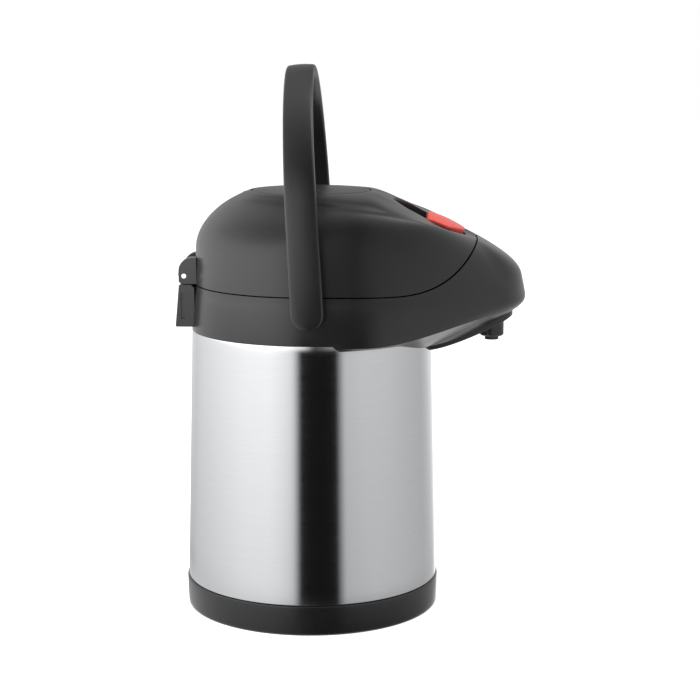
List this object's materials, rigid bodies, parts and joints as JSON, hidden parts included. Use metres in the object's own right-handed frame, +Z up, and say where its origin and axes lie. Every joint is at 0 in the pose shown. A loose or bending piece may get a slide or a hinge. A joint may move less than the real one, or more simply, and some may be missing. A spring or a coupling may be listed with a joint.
{
  "type": "airpot",
  "caption": "Vacuum airpot with a steel body, black pump lid and beak, a red lid latch and a swinging bail handle.",
  "frame": {"origin": "the body's vertical axis on the plane that the pot stands on, with the lid shut and the bail up", "axes": "+Z up along the body's axis, +X towards the beak, -X towards the lid hinge, Y along the hinge pin and the bail pivots"},
  "size_m": [0.2182, 0.171, 0.341],
  "materials": {
    "base_black": "satin moulded black",
    "black_rubber": "matt black rubber",
    "shell_steel": "fine satin stainless steel",
    "inner_steel": "plain drawn stainless steel",
    "inner_black": "matt moulded black",
    "silicone": "translucent white silicone",
    "milk_white": "milk white moulded plastic",
    "pin_steel": "bright steel",
    "housing_black": "satin moulded black with a fine grain",
    "spout_black": "satin moulded black",
    "handle_black": "satin moulded black with a fine grain",
    "plate_black": "satin moulded black with a fine grain",
    "signal_red": "satin moulded red"
  },
  "bodies": {
    "flask": {"base_cover": "base_black", "foot_ring": "black_rubber", "shell_bottom": "inner_steel", "outer_shell": "shell_steel", "inner_vessel": "inner_steel", "neck_ring": "inner_black", "head_gasket": "silicone", "tube_head": "milk_white", "siphon_tube": "milk_white", "collar": "housing_black", "spout_pipe": "silicone", "spout_nozzle": "spout_black", "spout_cover": "spout_black", "cover_screws": "pin_steel", "hinge_pin": "pin_steel"},
    "ball": {"leak_ball": "pin_steel"},
    "lid": {"lid_shell": "housing_black", "lid_base": "inner_black", "lid_gasket": "silicone", "lid_screws": "pin_steel", "latch_pin": "pin_steel", "latch_spring": "pin_steel", "bellows": "black_rubber", "return_spring": "pin_steel"},
    "pump": {"push_plate": "plate_black", "bellows_plate": "milk_white", "air_valve": "black_rubber"},
    "lever": {"latch": "signal_red"},
    "bail": {"handle": "handle_black"}
  },
  "joints": [
    {"name": "lid_hinge", "type": "hinge", "parent": "flask", "child": "lid", "pos_m": [-0.0784, 0, 0.2115], "axis": [0, -1, 0], "range_deg": [0, 28]},
    {"name": "pump_slide", "type": "slide", "parent": "lid", "child": "pump", "axis": [0, 0, -1], "range_m": [0, 0.025], "stiffness_N_per_m": 150, "springref_m": -0.02, "deforming": ["bellows", "return_spring"]},
    {"name": "lever_pivot", "type": "hinge", "parent": "lid", "child": "lever", "pos_m": [0.0912, 0, 0.2361], "axis": [0, 1, 0], "range_deg": [0, 28], "stiffness_Nm_per_rad": 0.06, "springref_deg": -28.65},
    {"name": "bail_pivot", "type": "hinge", "parent": "flask", "child": "bail", "pos_m": [0.0018, 0, 0.1983], "axis": [0, 1, 0], "range_deg": [-135, 135]},
    {"name": "ball_lift", "type": "slide", "parent": "flask", "child": "ball", "axis": [0, 0, 1], "range_m": [0, 0.004]}
  ]
}
